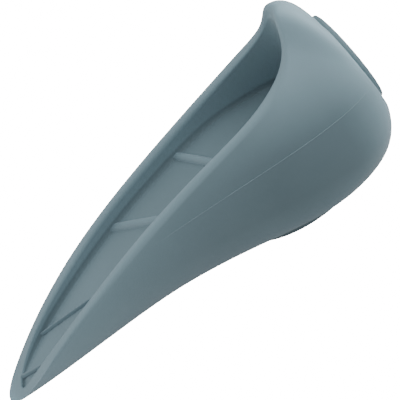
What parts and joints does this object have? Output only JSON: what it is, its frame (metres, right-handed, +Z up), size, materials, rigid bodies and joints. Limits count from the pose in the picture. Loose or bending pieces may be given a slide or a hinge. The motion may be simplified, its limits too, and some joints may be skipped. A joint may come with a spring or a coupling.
{
  "type": "door stop",
  "caption": "Hollow moulded rubber door wedge with an open tray, a raised heel lip, a disc on the back of the heel and an oval anti-slip pad under it.",
  "frame": {"origin": "centre of the base pad's lower face, on the floor", "axes": "+X from the tip to the heel, +Y to the left seen from the tip towards the heel, +Z up from the floor"},
  "size_m": [0.1275, 0.0472, 0.0548],
  "materials": {
    "body_rubber": "matte moulded grey-blue rubber",
    "pad_rubber": "matte grey-blue rubber, slightly lighter",
    "grip_rubber": "matte dark grey-blue rubber",
    "adhesive": "thin dark foam adhesive"
  },
  "bodies": {
    "root": {"shell": "body_rubber", "back_pad": "pad_rubber", "back_adhesive": "adhesive", "base_pad": "grip_rubber", "base_adhesive": "adhesive"}
  },
  "joints": []
}
